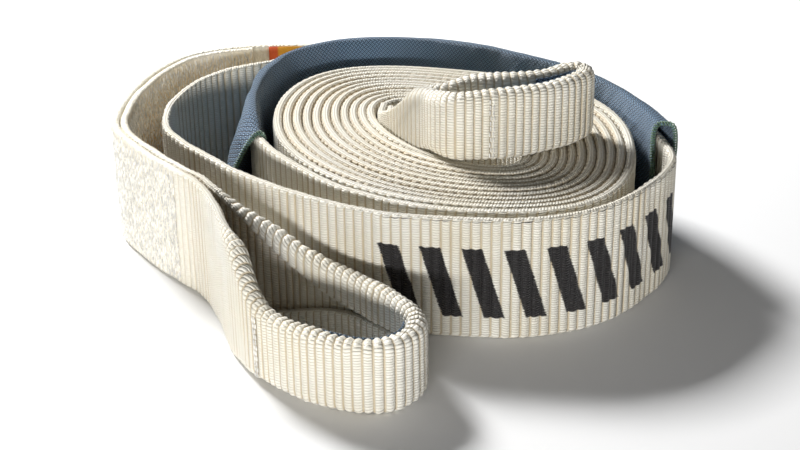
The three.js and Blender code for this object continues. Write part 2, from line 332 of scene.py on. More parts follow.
def closed_mesh(name, points, uv, attributes):
    """A mesh from a grid of points (stations, section, 3); uv has one more column than the section."""
    rows, columns, _ = points.shape
    quads = grid_faces(rows, columns)
    caps = [np.arange(columns)[::-1], (rows - 1) * columns + np.arange(columns)]
    loops = np.concatenate([quads.ravel(), *caps])
    sizes = np.concatenate([np.full(len(quads), 4), [columns, columns]])
    mesh = bpy.data.meshes.new(name)
    mesh.vertices.add(rows * columns)
    mesh.vertices.foreach_set("co", (points * MM).astype(np.float32).ravel())
    mesh.loops.add(len(loops))
    mesh.loops.foreach_set("vertex_index", loops.astype(np.int32))
    mesh.polygons.add(len(sizes))
    starts = np.concatenate([[0], np.cumsum(sizes)[:-1]])
    mesh.polygons.foreach_set("loop_start", starts.astype(np.int32))
    mesh.polygons.foreach_set("use_smooth", np.ones(len(sizes), bool))
    for map_name, grid in uv.items():
        corners = np.stack(
            [grid[:-1, :-1], grid[:-1, 1:], grid[1:, 1:], grid[1:, :-1]], axis=2
        ).reshape(-1, 2)
        ends = np.concatenate([grid[0, :-1][::-1], grid[-1, :-1]])
        layer = mesh.uv_layers.new(name=map_name)
        layer.data.foreach_set("uv", np.concatenate([corners, ends]).astype(np.float32).ravel())
    for key, values in attributes.items():
        layer = mesh.attributes.new(key, "FLOAT", "POINT")
        layer.data.foreach_set("value", values.astype(np.float32).ravel())
    mesh.update(calc_edges=True)
    mesh.validate()
    return mesh


def add_piece(name, mesh, material):
    """An object at the origin that rides on the part's one body."""
    piece = bpy.data.objects.new(name, mesh)
    scene.collection.objects.link(piece)
    mesh.materials.append(material)
    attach(piece, "root")
    print(name, "has", sum(len(p.vertices) - 2 for p in mesh.polygons), "triangles")
    return piece


def no_painted_golden_shade(run, share, turn):
    """No part of the band gets the painted golden shade."""
    return np.zeros((len(run["ribs"]), len(turn)))


def band_grid(
    run, face_points=24, cap_points=5, wave=0.5, seed=1, golden_shade_paint=no_painted_golden_shade, thickness=STRAP_THICKNESS
):
    """The band's points in the frame, its UV grid and its attributes."""
    share, turn = section_loop(face_points, cap_points)
    half = thickness / 2 - 0.25 * run["rib_depth"][:, None]
    sideways, upwards, normal = section_points(run, share, turn, STRAP_THICKNESS / 2)
    off = half * squareness(turn)[None] + relief(run, share, turn, wave, seed)
    centre = -FOLD_RADIUS * run["fold"][:, None]
    sideways = sideways + centre + off * normal[..., 0]
    folded = run["height"] + (EYE_HEIGHT - STRAP_WIDTH) * run["fold"]
    upwards = upwards + off * normal[..., 1] + (run["bottom"] + folded / 2)[:, None]
    plan = run["place"][:, None] + run["across"][:, None] * sideways[..., None]
    points = np.concatenate([plan, np.maximum(upwards, 0.0)[..., None]], axis=2)
    picks = distance_round(points) / PICK
    closed_turn = np.append(turn, 2 * math.pi)
    ribs = run["ribs"][:, None] + closed_turn[None] / (2 * math.pi)
    uv = np.stack([ribs, np.broadcast_to(picks[None], ribs.shape)], axis=-1)
    stitched = np.broadcast_to(run["stitched"][:, None], points.shape[:2])
    edge = np.broadcast_to(np.abs(np.sin(turn))[None], points.shape[:2])
    # One attribute says where the material paints a golden shade, for light that bounced between nylon
    # faces.
    attributes = {"stitched": stitched, "painted_golden_shade": golden_shade_paint(run, share, turn), "edge": edge}
    return points, {"weave": uv}, attributes


# %% [markdown]
# The materials need small helpers: one adds a node, one joins two sockets, and one writes a maths
# node in a single call. Effects that several finishes share are node groups with named sockets.

# %% Node helpers
class Nodes:
    """A thin helper round a node tree: makes nodes, joins sockets and writes maths in one call."""

    def __init__(self, tree):
        self.tree = tree

    def add(self, kind, **settings):
        node = self.tree.nodes.new(kind)
        for key, value in settings.items():
            setattr(node, key, value)
        return node

    def join(self, source, socket):
        self.tree.links.new(source, socket)

    def put(self, value, socket):
        """Joins a socket, or sets a plain value."""
        if isinstance(value, bpy.types.NodeSocket):
            self.join(value, socket)
        else:
            socket.default_value = value

    def maths(self, operation, a, b=None, c=None, clamp=False):
        node = self.add("ShaderNodeMath", operation=operation, use_clamp=clamp)
        for value, socket in zip((a, b, c), node.inputs):
            if value is not None:
                self.put(value, socket)
        return node.outputs[0]

    def blend(self, factor, low, high):
        """A colour between low and high."""
        node = self.add("ShaderNodeMix", data_type="RGBA")
        self.put(factor, node.inputs["Factor"])
        self.put(low, node.inputs["A"])
        self.put(high, node.inputs["B"])
        return node.outputs["Result"]

    def between(self, factor, low, high):
        """A number between low and high."""
        node = self.add("ShaderNodeMix", data_type="FLOAT")
        self.put(factor, node.inputs["Factor"])
        self.put(low, node.inputs["A"])
        self.put(high, node.inputs["B"])
        return node.outputs["Result"]

    def ramp(self, value, low, high, to_low=0.0, to_high=1.0):
        """A smooth step from to_low at low to to_high at high."""
        node = self.add("ShaderNodeMapRange", interpolation_type="SMOOTHSTEP")
        self.put(value, node.inputs["Value"])
        for key, number in zip(("From Min", "From Max", "To Min", "To Max"), (low, high, to_low, to_high)):
            self.put(number, node.inputs[key])
        return node.outputs["Result"]

    def uv_parts(self, name):
        """The two numbers of a UV map."""
        uv = self.add("ShaderNodeUVMap", uv_map=name)
        split = self.add("ShaderNodeSeparateXYZ")
        self.join(uv.outputs["UV"], split.inputs[0])
        return split.outputs["X"], split.outputs["Y"]

    def bump(self, height, distance, shader):
        """Tilts the shader's normal by a height, which is at most distance metres."""
        node = self.add("ShaderNodeBump")
        node.inputs["Distance"].default_value = distance
        self.join(height, node.inputs["Height"])
        self.join(node.outputs["Normal"], shader.inputs["Normal"])

    def vector(self, x, y, z=0.0):
        node = self.add("ShaderNodeCombineXYZ")
        for value, socket in zip((x, y, z), node.inputs):
            self.put(value, socket)
        return node.outputs[0]

    def noise(self, vector, scale, detail=3.0, roughness=0.55):
        node = self.add("ShaderNodeTexNoise")
        self.put(vector, node.inputs["Vector"])
        node.inputs["Scale"].default_value = scale
        node.inputs["Detail"].default_value = detail
        node.inputs["Roughness"].default_value = roughness
        return node.outputs["Fac"]


def new_group(name, inputs, outputs):
    """A shader node group with float sockets."""
    group = bpy.data.node_groups.new(name, "ShaderNodeTree")
    for key, default in inputs:
        socket = group.interface.new_socket(key, in_out="INPUT", socket_type="NodeSocketFloat")
        socket.default_value = default
    for key in outputs:
        group.interface.new_socket(key, in_out="OUTPUT", socket_type="NodeSocketFloat")
    nodes = Nodes(group)
    entry = nodes.add("NodeGroupInput")
    leave = nodes.add("NodeGroupOutput")
    return group, nodes, entry.outputs, leave.inputs


def place_group(nodes, group, **values):
    """Puts a group into a tree; underscores in the keywords stand for spaces."""
    node = nodes.add("ShaderNodeGroup", node_tree=group)
    for key, value in values.items():
        nodes.put(value, node.inputs[key.replace("_", " ")])
    return node.outputs


# %% [markdown]
# The weave group draws what is too small for the mesh. Picks are rounded loops that lie on each rib,
# half a pick higher on every second rib. Their fibres run across the rib. Where the webbing is sewn,
# short upright stitches cover the ribs instead.

# %% The webbing's weave as a node group
def make_rib_weave():
    """Outputs: the loops' height, how deep a point lies between ribs or loops (the material paints shade
    there), and a fibre streak.
    """
    group, nodes, given, out = new_group(
        "rib_weave",
        [("Ribs", 0.0), ("Picks", 0.0), ("Stitched", 0.0), ("Edge", 0.0)],
        ["Height", "Valley shade", "Fibre"],
    )
    ribs, picks, stitched = given["Ribs"], given["Picks"], given["Stitched"]
    maths = nodes.maths
    warp = nodes.noise(nodes.vector(maths("MULTIPLY", ribs, 0.31), maths("MULTIPLY", picks, 0.11)), 1.0)
    shifted = maths("ADD", picks, maths("MULTIPLY", warp, 1.6))
    rib_number = maths("FLOOR", maths("ADD", ribs, 0.5))
    half_step = maths("MULTIPLY", maths("PINGPONG", rib_number, 1.0), 0.5)
    loop = maths("ABSOLUTE", maths("COSINE", maths("MULTIPLY", maths("ADD", shifted, half_step), math.pi)))
    loop = maths("POWER", loop, 0.6)
    ridge = maths("ABSOLUTE", maths("COSINE", maths("MULTIPLY", ribs, math.pi)))
    fibre = nodes.noise(
        nodes.vector(maths("MULTIPLY", ribs, 2.3), maths("MULTIPLY", picks, 4.5)), 1.0, detail=4.0
    )
    stitch = nodes.add("ShaderNodeTexVoronoi", feature="F1")
    stitch.inputs["Scale"].default_value = 1.0
    sewn_place = nodes.vector(maths("MULTIPLY", ribs, 3.1), maths("MULTIPLY", shifted, 0.55))
    nodes.join(sewn_place, stitch.inputs["Vector"])
    bump = maths("SUBTRACT", 1.0, stitch.outputs["Distance"])
    woven = maths("MULTIPLY", loop, nodes.ramp(ridge, 0.0, 0.5))
    bead = maths("ABSOLUTE", maths("COSINE", maths("MULTIPLY", ribs, 3 * math.pi)))
    lane = maths("ABSOLUTE", maths("COSINE", maths("MULTIPLY", maths("ADD", picks, 0.3), 0.8 * math.pi)))
    knot = maths("POWER", maths("MULTIPLY", bead, lane), 0.6)
    on_edge = nodes.ramp(given["Edge"], 0.45, 0.8)
    woven = nodes.between(on_edge, woven, knot)
    height = nodes.between(stitched, woven, bump)
    nodes.join(maths("ADD", height, maths("MULTIPLY", fibre, 0.35)), out["Height"])
    # The valley mask is painted as shade: darker between ribs, loops, edge knots and stitches.
    between_ribs = nodes.ramp(ridge, 0.05, 0.62, 1.0, 0.0)
    between_loops = nodes.ramp(loop, 0.15, 0.75, 0.45, 0.0)
    between_knots = nodes.ramp(knot, 0.15, 0.7, 0.5, 0.0)
    open_valley = nodes.between(on_edge, maths("MAXIMUM", between_ribs, between_loops), between_knots)
    sewn_valley = nodes.ramp(bump, 0.35, 0.75, 0.2, 0.0)
    nodes.join(nodes.between(stitched, open_valley, sewn_valley), out["Valley shade"])
    nodes.join(fibre, out["Fibre"])
    return group


def make_slow_tone():
    """Output: a slow, cloudy value from 0 to 1 over the object's own coordinates."""
    group, nodes, given, out = new_group("slow_tone", [("Size", 40.0)], ["Tone"])
    place = nodes.add("ShaderNodeTexCoord")
    noise = nodes.add("ShaderNodeTexNoise")
    nodes.join(place.outputs["Object"], noise.inputs["Vector"])
    nodes.join(given["Size"], noise.inputs["Scale"])
    noise.inputs["Detail"].default_value = 3.0
    nodes.join(nodes.ramp(noise.outputs["Fac"], 0.32, 0.68), out["Tone"])
    return group


RIB_WEAVE = make_rib_weave()
SLOW_TONE = make_slow_tone()
print("node groups:", RIB_WEAVE.name, SLOW_TONE.name)

# %% [markdown]
# Undyed nylon is a warm cream. Light that bounces between the ribs turns golden, so the valleys get
# a painted tan shade. The thread is silky: fairly smooth, with a little sheen.

# %% The webbing's material
CREAM = (0.86, 0.815, 0.69, 1.0)
CREAM_COOL = (0.88, 0.855, 0.77, 1.0)
# Painted shade for the valleys between ribs, loops and stitches: a darker tan.
PAINTED_VALLEY_SHADE = (0.46, 0.335, 0.155, 1.0)
# A darker golden colour, painted as shade where the webbing lies deep between layers.
PAINTED_SHADE_GOLD = (0.56, 0.37, 0.13, 1.0)
INK = (0.012, 0.010, 0.010, 1.0)
LOOP_HEIGHT = 0.0006
BAR_COUNT = 9
BAR_SLANT = 0.55
BAR_SHARE = 0.5
BAR_BLUR = 0.015


def start_material(name):
    """A new material with its Principled shader; returns it, its node helper and the shader."""
    material = bpy.data.materials.new(name)
    material.use_nodes = True
    material.node_tree.nodes.clear()
    nodes = Nodes(material.node_tree)
    shader = nodes.add("ShaderNodeBsdfPrincipled")
    output = nodes.add("ShaderNodeOutputMaterial")
    nodes.join(shader.outputs["BSDF"], output.inputs["Surface"])
    return material, nodes, shader


def print_mask(nodes, weave):
    """The plain slanted bars printed on the webbing's outer face: 1 where there is ink."""
    u, v = nodes.uv_parts("print")
    maths = nodes.maths
    ragged = maths("MULTIPLY", maths("SUBTRACT", weave["Fibre"], 0.5), 0.16)
    slanted = maths("ADD", maths("SUBTRACT", u, maths("MULTIPLY", v, BAR_SLANT)), ragged)
    off_middle = maths("ABSOLUTE", maths("SUBTRACT", maths("FRACT", slanted), 0.5))
    bar = nodes.ramp(off_middle, BAR_SHARE / 2 - BAR_BLUR, BAR_SHARE / 2 + BAR_BLUR, 1.0, 0.0)
    before_last = nodes.ramp(slanted, BAR_COUNT - 0.01, BAR_COUNT, 1.0, 0.0)
    inside = maths("MULTIPLY", nodes.ramp(u, 0.0, 0.01), before_last)
    inside = maths("MULTIPLY", inside, nodes.ramp(slanted, 0.0, 0.01))
    level = maths("ADD", v, maths("MULTIPLY", ragged, 0.2))
    rows = maths("MULTIPLY", nodes.ramp(level, 0.0, 0.012), nodes.ramp(level, 0.988, 1.0, 1.0, 0.0))
    worn = nodes.ramp(weave["Fibre"], 0.66, 0.8, 1.0, 0.25)
    return maths("MULTIPLY", maths("MULTIPLY", bar, inside), maths("MULTIPLY", rows, worn))


def make_webbing_material(name, printed=False):
    """Cream nylon with painted tan shade in its valleys and painted golden shade in deep places; the
    printed one also has ink on its outer face.
    """
    material, nodes, shader = start_material(name)
    ribs, picks = nodes.uv_parts("weave")
    sewn = nodes.add("ShaderNodeAttribute", attribute_name="stitched")
    edge = nodes.add("ShaderNodeAttribute", attribute_name="edge")
    weave = place_group(
        nodes, RIB_WEAVE, Ribs=ribs, Picks=picks, Stitched=sewn.outputs["Fac"], Edge=edge.outputs["Fac"]
    )
    tone = place_group(nodes, SLOW_TONE, Size=22.0)["Tone"]
    thread = nodes.blend(tone, CREAM, CREAM_COOL)
    # The valleys between ribs, loops and stitches get a painted tan shade.
    valley_shade = nodes.maths("MULTIPLY", weave["Valley shade"], 0.7)
    colour = nodes.blend(valley_shade, thread, PAINTED_VALLEY_SHADE)
    # Painted golden shade: faces that lie in deep shade between layers are made darker and golden.
    painted_golden_shade = nodes.add("ShaderNodeAttribute", attribute_name="painted_golden_shade")
    colour = nodes.blend(nodes.maths("MULTIPLY", painted_golden_shade.outputs["Fac"], 0.85), colour, PAINTED_SHADE_GOLD)
    rough = nodes.between(weave["Fibre"], 0.36, 0.62)
    if printed:
        ink = print_mask(nodes, weave)
        colour = nodes.blend(ink, colour, INK)
    nodes.join(colour, shader.inputs["Base Color"])
    nodes.join(rough, shader.inputs["Roughness"])
    shader.inputs["Specular IOR Level"].default_value = 0.45
    shader.inputs["Sheen Weight"].default_value = 0.12
    shader.inputs["Sheen Roughness"].default_value = 0.4
    nodes.bump(weave["Height"], LOOP_HEIGHT, shader)
    return material


WEBBING = make_webbing_material("cream nylon webbing")
PRINTED_WEBBING = make_webbing_material("cream nylon webbing with printed bars", printed=True)

# %% [markdown]
# Most of the webbing's length lies in the coil, one ribbon in nearly twelve turns. All of it is there,
# but a turn's faces show only inside the bore and outside, so its section needs few points. Each turn
# stands a little higher or lower than its neighbours, which is what makes the rings show on top.

# %% The wound coil
RIB_PITCH = 5.6
RIB_DEPTH = 1.25
COILED_THICKNESS = TURN_PITCH - 0.25
COIL_POINTS_PER_TURN = 40
# How strong the painted golden shade is on the faces between two turns.
COIL_GOLDEN_SHADE = 0.4
TURN_RISE = 0.9


def smooth_step(value, low, high):
    """0 below low, 1 above high, and 3t^2 - 2t^3 between."""
    t = np.clip((value - low) / (high - low), 0, 1)
    return t * t * (3 - 2 * t)


def plain_columns(count, bottom=0.0, **changes):
    """Column values for count points of plain, unfolded webbing."""
    values = dict(
        bottom=bottom, height=STRAP_WIDTH, fold=0.0, rib_pitch=RIB_PITCH, rib_depth=RIB_DEPTH, stitched=0.0
    )
    values.update(changes)
    columns = [np.broadcast_to(np.asarray(values[key], float), (count,)) for key in RUN_COLUMNS]
    return np.stack(columns, axis=1)


def add_webbing(name, node, band, material=WEBBING):
    """A piece of webbing from the band's points, UV grids and attributes. The given CAD node is hidden."""
    points, uv, attributes = band
    piece = add_piece(name, closed_mesh(name, points, uv, attributes), material)
    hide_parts(node)


def coil_painted_golden_shade(run, share, turn):
    """Between two turns only golden light gets in, so the faces that lie against each other get a painted
    golden shade.
    """
    turns = run["along"] / run["along"][-1]
    covered = smooth_step(turns, 0.04, 0.06) * (1 - smooth_step(turns, 0.86, 0.88))
    return COIL_GOLDEN_SHADE * covered[:, None] * (np.abs(np.sin(turn)) < 0.8)[None]


def make_coil():
    """The spiral from the bore to where the webbing leaves the coil."""
    turns = np.linspace(0, TURN_COUNT, int(TURN_COUNT * COIL_POINTS_PER_TURN))
    uneven = TURN_RISE * wander(turns * 360, 11, 291.0)
    columns = plain_columns(len(turns), bottom=np.maximum(uneven, -0.4), rib_depth=1.0)
    run = make_run(winding_point(turns, STRAP_THICKNESS / 2), columns, rows_per_rib=5)
    band = band_grid(
        run, face_points=4, cap_points=4, wave=0.1, seed=21, golden_shade_paint=coil_painted_golden_shade, thickness=COILED_THICKNESS
    )
    add_webbing("wound_webbing", "coil", band)
    return run


coil_run = make_coil()
print("webbing in the coil, m:", round(float(coil_run["along"][-1]) * MM, 2))

# %% [markdown]
# The loose turns keep the CAD routes: a clock angle, counted on past 360, and the gap from the coil
# to the webbing's inner face. The first goes through the sleeve round the back. The second crosses the
# front and the left, and turns back on itself behind the sleeve.

# %% The loose turns
SLEEVE_START = 84.0
SLEEVE_END = 278.0
SLEEVE_FLOOR = 1.5
SETTLING = 40.0
HAIRPIN = 556.0
SLEEVE_TURN_ROUTE = [
    (LEAVE_CLOCK, 0.2), (40, 0.9), (58, 1.6), (70, 5), (SLEEVE_START, 9), (94, 10.5), (107, 11.5),
    (122, 15), (136, 18), (150, 20.5), (164, 21.5), (178, 20.5), (192, 16.5), (206, 10.5), (222, 7.5),
    (240, 7), (255, 8.5), (264, 11.5), (271, 15), (SLEEVE_END, 19),
]
FRONT_TURN_ROUTE = [
    (SLEEVE_END, 19), (287, 23.5), (297, 19.5), (305, 14.5), (313, 10), (322, 8.2), (334, 8.6),
    (348, 9.6), (362, 11), (374, 14.5), (386, 18), (398, 20.5), (410, 26), (420, 32), (430, 39),
    (438, 47), (446, 57.5), (453, 65.5), (460, 67.5), (469, 66), (478, 61.5), (486, 51), (494, 39.5),
    (504, 32), (516, 30), (530, 29.5), (544, 27.5), (HAIRPIN, 24), (HAIRPIN + 4.5, 25.5),
    (HAIRPIN + 8, 31.5), (HAIRPIN + 4.5, 37.2), (HAIRPIN, 38.5),
]


def route_points(route, offset=STRAP_THICKNESS / 2):
    """The middle line of webbing whose inner face has the route's gaps."""
    rows = np.array(route, float)
    return rows[:, 0], outside_point(rows[:, 0], rows[:, 1] + offset)


def make_sleeve_turn():
    clock, points = route_points(SLEEVE_TURN_ROUTE)
    lift = SLEEVE_FLOOR * smooth_step(clock, SLEEVE_START - SETTLING, SLEEVE_START)
    run = make_run(points, plain_columns(len(points), bottom=lift))
    band = band_grid(run, face_points=20, wave=0.4, seed=31)
    add_webbing("sleeved_webbing", "sleeve_turn", band)
    return run


sleeve_run = make_sleeve_turn()

# %% [markdown]
# The front turn carries a print on its outer face. Here that is a row of plain slanted bars, drawn in a
# second UV map: one unit along for each bar, and from 0 to 1 up the printed height.

# %% The front turn with its printed bars
PRINT_START_CLOCK = 284.0
PRINT_END_CLOCK = 376.0
PRINT_LOW = 12.0
PRINT_HIGH = 59.0
FRONT_RIB_DEPTH = 1.35
FRONT_FACE_POINTS = 24
FRONT_CAP_POINTS = 5
# The clock angles between which the painted golden shade comes in, and those between which it ends.
GOLDEN_SHADE_IN = (424.0, 448.0)
GOLDEN_SHADE_OUT = (500.0, 520.0)


def clock_of(run, near):
    """The clock angle of each station, counted on so that the first one is close to near."""
    place = run["place"] - COIL_MIDDLE
    angle = np.degrees(np.unwrap(np.arctan2(-place[:, 0], -place[:, 1])))
    return angle + 360 * np.round((near - angle[0]) / 360)


def front_painted_golden_shade(run, share, turn):
    """The outer face on the left gets a painted golden shade low down, where only light from the splice
    reaches it.
    """
    clock = clock_of(run, SLEEVE_END)
    window = smooth_step(clock, *GOLDEN_SHADE_IN) * (1 - smooth_step(clock, *GOLDEN_SHADE_OUT))
    low = smooth_step(-share, -0.75, 0.6)
    return window[:, None] * (low * (np.cos(turn) > 0.5))[None]


def make_front_turn():
    clock, points = route_points(FRONT_TURN_ROUTE)
    lift = SLEEVE_FLOOR * (1 - smooth_step(clock, SLEEVE_END, SLEEVE_END + SETTLING))
    run = make_run(points, plain_columns(len(points), bottom=lift, rib_depth=FRONT_RIB_DEPTH))
    band = band_grid(run, FRONT_FACE_POINTS, FRONT_CAP_POINTS, wave=0.7, seed=41, golden_shade_paint=front_painted_golden_shade)
    share, turn = section_loop(FRONT_FACE_POINTS, FRONT_CAP_POINTS)
    angle = clock_of(run, SLEEVE_END)
    start = np.interp(PRINT_START_CLOCK, angle, run["along"])
    end = np.interp(PRINT_END_CLOCK, angle, run["along"])
    bars = (run["along"] - start) / (end - start) * BAR_COUNT
    outer = np.append(turn, 2 * math.pi) < 0.1
    height = (1 + np.append(share, -1.0)) * STRAP_WIDTH / 2
    level = np.where(outer, (height - PRINT_LOW) / (PRINT_HIGH - PRINT_LOW), -1.0)
    _, uv, _ = band
    uv["print"] = np.stack(np.broadcast_arrays(bars[:, None], level[None]), axis=-1)
    add_webbing("front_webbing", "front_turn", band, PRINTED_WEBBING)


make_front_turn()

# %% [markdown]
# The outer eye starts as the long layer of the splice, loops round and comes back as the short layer,
# sewn to the long one. Past the split both sides fold in. Its ribs crowd together in the neck.

# %% The outer eye
SPLICE_ROUTE = [
    (HAIRPIN, 38.5), (544, 40), (530, 41), (518, 43), (508, 49), (502, 59), (496, 72), (490, 86),
    (484, 94.5), (476, 98), (468, 98.5), (460, 99), (452, 96.5), (446, 88.5), (440, 79), (434.5, 71.5),
    (429.5, 66.5), (425, 62),
]
SHORT_LAYER_END = 496.0
LAYER_GAP = 0.5
SPLICE_RIB_PITCH = 5.0
SPLICE_RIB_DEPTH = 1.1
SEWN_FLATTENING = 0.75
# How strong the painted golden shade is on the inner sides of the eye's neck.
NECK_GOLDEN_SHADE = 0.4
# Each row: ahead of the split, to its left, the share of the fold, and the spacing of the ribs.
OUTER_EYE_LOOP = [
    (17, -7, 0, 4.4), (34, -14, 0, 4.0), (51, -23, 0.03, 3.8), (68, -30.5, 0.15, 3.8),
    (81, -34.5, 0.45, 3.9), (92, -36.5, 0.85, 4.1), (106, -37.5, 1, 4.5), (122, -37, 1, 4.7),
    (138, -34, 1, 4.8), (153, -29.5, 1, 4.9), (166, -22, 1, 4.9), (173.5, -11, 1, 4.9),
    (174, 2, 1, 4.9), (168, 13, 1, 4.9), (157, 20, 1, 4.9), (142, 23, 1, 4.9), (124, 23.5, 1, 4.9),
    (107, 22, 0.97, 4.9), (90, 18, 0.88, 4.9), (74, 13, 0.7, 4.9), (57, 9, 0.5, 4.9),
    (42, 5, 0.33, 4.9), (27, 2, 0.18, 4.9), (14, 0.5, 0.06, 4.9),
]


def outer_eye_points():
    """The middle lines of the long layer, of the loop ahead of the split, and of the short layer."""
    _, long = route_points(SPLICE_ROUTE)
    short_rows = [row for row in SPLICE_ROUTE if row[0] <= SHORT_LAYER_END][::-1]
    _, short = route_points(short_rows, -STRAP_THICKNESS / 2 - LAYER_GAP)
    split = (long[-1] + short[0]) / 2
    ahead = unit(split - (long[-2] + short[1]) / 2)
    left = np.array([-ahead[1], ahead[0]])
    rows = np.array(OUTER_EYE_LOOP, float)
    return long, split + rows[:, :1] * ahead + rows[:, 1:2] * left, short


def split_places(*numbers):
    """The places of some of the outer eye's loop points, from the coil's middle."""
    _, loop, _ = outer_eye_points()
    return [loop[number] for number in numbers]


def outer_eye_path():
    """The control points of the whole eye and their columns."""
    long, loop, short = outer_eye_points()
    rows = np.array(OUTER_EYE_LOOP, float)
    sewn_long = smooth_step(len(long) - np.arange(len(long)), 0.5, 3.0)
    sewn_short = smooth_step(np.arange(len(short)), 0.0, 2.0)
    layers = [
        plain_columns(
            len(sewn), stitched=sewn, rib_depth=SPLICE_RIB_DEPTH - SEWN_FLATTENING * sewn,
            rib_pitch=SPLICE_RIB_PITCH,
        )
        for sewn in (sewn_long, sewn_short)
    ]
    loop_depth = 0.75 + 0.4 * (rows[:, 3] - 3.8)
    loop_columns = plain_columns(len(loop), fold=rows[:, 2], rib_pitch=rows[:, 3], rib_depth=loop_depth)
    return np.concatenate([long, loop, short]), np.concatenate([layers[0], loop_columns, layers[1]])


def splice_painted_golden_shade(run, share, turn):
    """The short layer's right face looks into the narrow space behind the splice: it gets a painted golden
    shade low down.
    The inner sides of the eye's neck get a little painted golden shade too."""
    back = run["along"] > run["along"][-1] / 2
    low = smooth_step(-share, -1.5, 0.2)
    inside = (run["stitched"] * back)[:, None] * (low * (np.cos(turn) < -0.5))[None]
    neck = (1 - run["fold"]) * (1 - run["stitched"]) * (run["along"] > run["along"][-1] * 0.4)
    return np.maximum(inside, NECK_GOLDEN_SHADE * neck[:, None] * (np.cos(turn) > 0.5)[None])


def make_outer_eye():
    points, columns = outer_eye_path()
    run = make_run(points, columns)
    band = band_grid(run, face_points=30, cap_points=4, wave=0.6, seed=51, golden_shade_paint=splice_painted_golden_shade)
    add_webbing("outer_eye_webbing", "outer_eye", band)
    return run


outer_eye_run = make_outer_eye()

# %% [markdown]
# The webbing's inner end climbs out of the bore along its left wall and lies on the coil as the inner
# eye. Rows of the climb: turns before the winding's start, then the heights of the lower and upper
# edge. Rows of the loop: the place from the coil's middle, the share of the fold and the ribs' spacing.

# %% The inner eye
CLIMB = [
    (0.0, 0, 1), (-0.07, 0.08, 1.076), (-0.13, 0.26, 1.19), (-0.19, 0.57, 1.33), (-0.25, 0.96, 1.45),
]
INNER_EYE_LOOP = [
    (-12.5, -27, 1.25, 3.4), (-4, -39, 1.1, 3.6), (5, -46, 1.03, 4.4), (21, -45, 1, 4.9),
    (37, -41.5, 1, 4.9), (53, -35.5, 1, 4.9), (67, -27, 1, 4.9), (77, -17.5, 1, 4.9), (82, -9, 1, 4.9),
    (80, -2, 1, 4.9), (72, -2, 1, 4.9), (62, -9.5, 1, 4.9), (50, -15.5, 1, 4.9), (37, -18.5, 1, 4.9),
    (24, -19.5, 1, 4.9), (11, -20.5, 1, 4.6), (-1, -23.5, 1.15, 4.0),
]
CONTACT_GAP = 0.3


def inner_eye_path():
    """The control points: up the bore's wall, round the loop on top, and back down beside itself."""
    climb = np.array(CLIMB, float)
    long = winding_point(climb[:, 0], STRAP_THICKNESS / 2 - CONTACT_GAP)
    radius = np.linalg.norm(long, axis=1)[:, None]
    short = (long * (radius - STRAP_THICKNESS - 3 * LAYER_GAP) / radius)[::-1]
    low, high = climb[:, 1] * STRAP_WIDTH, climb[:, 2] * STRAP_WIDTH
    rising = plain_columns(len(climb), bottom=low, height=high - low, rib_pitch=3.8, rib_depth=0.6)
    rows = np.array(INNER_EYE_LOOP, float)
    share, rib_pitch = rows[:, 2], rows[:, 3]
    lower = (STRAP_WIDTH - EYE_HEIGHT) * np.maximum(share - 1, 0)
    loop = plain_columns(
        len(rows), bottom=STRAP_WIDTH + CONTACT_GAP, fold=np.minimum(share, 1), height=STRAP_WIDTH - lower,
        rib_pitch=rib_pitch, rib_depth=0.3 + 0.75 * smooth_step(rib_pitch, 3.4, 4.9),
    )
    return np.concatenate([long, rows[:, :2], short]), np.concatenate([rising, loop, rising[::-1]])


def make_inner_eye():
    points, columns = inner_eye_path()
    run = make_run(points, columns)
    band = band_grid(run, face_points=30, cap_points=4, wave=0.4, seed=61)
    add_webbing("inner_eye_webbing", "inner_eye", band)
    return run


inner_eye_run = make_inner_eye()

# %% [markdown]
# The sleeve is a flat tube of coarse blue-grey cloth. Its yarns go over and under each other in pairs
# and lie at a slant, which a turned checker of two rounded ridges draws. The same cloth lines the eyes.

# %% The sleeve cloth's material
YARN = 1.5
CLOTH_LIGHT = (0.19, 0.32, 0.48, 1.0)
# Painted shade for the gaps between the yarns: nearly black.
CLOTH_GAP_SHADE = (0.006, 0.012, 0.026, 1.0)
CLOTH_PALE = (0.24, 0.37, 0.52, 1.0)
YARN_HEIGHT = 0.0009


def make_basket_weave():
    """Outputs: the yarns' height and how deep a point lies between them. The UV counts yarns."""
    inputs = [("Across", 0.0), ("Along", 0.0)]
    group, nodes, given, out = new_group("basket_weave", inputs, ["Height", "Gap"])
    maths = nodes.maths
    across = maths("ADD", given["Across"], given["Along"])
    along = maths("SUBTRACT", given["Across"], given["Along"])
    ridge = lambda value: maths("ABSOLUTE", maths("SINE", maths("MULTIPLY", value, math.pi)))
    pair = lambda value: maths("FLOOR", maths("MULTIPLY", value, 0.5))
    over = maths("PINGPONG", maths("ADD", pair(across), pair(along)), 1.0)
    crown_across = ridge(maths("MULTIPLY", across, 0.5))
    crown_along = ridge(maths("MULTIPLY", along, 0.5))
    warp = maths("MULTIPLY", maths("POWER", ridge(across), 0.5), maths("POWER", crown_along, 0.5))
    weft = maths("MULTIPLY", maths("POWER", ridge(along), 0.5), maths("POWER", crown_across, 0.5))
    height = nodes.between(over, warp, weft)
    nodes.join(height, out["Height"])
    nodes.join(nodes.ramp(height, 0.4, 0.92, 1.0, 0.0), out["Gap"])
    return group


BASKET_WEAVE = make_basket_weave()


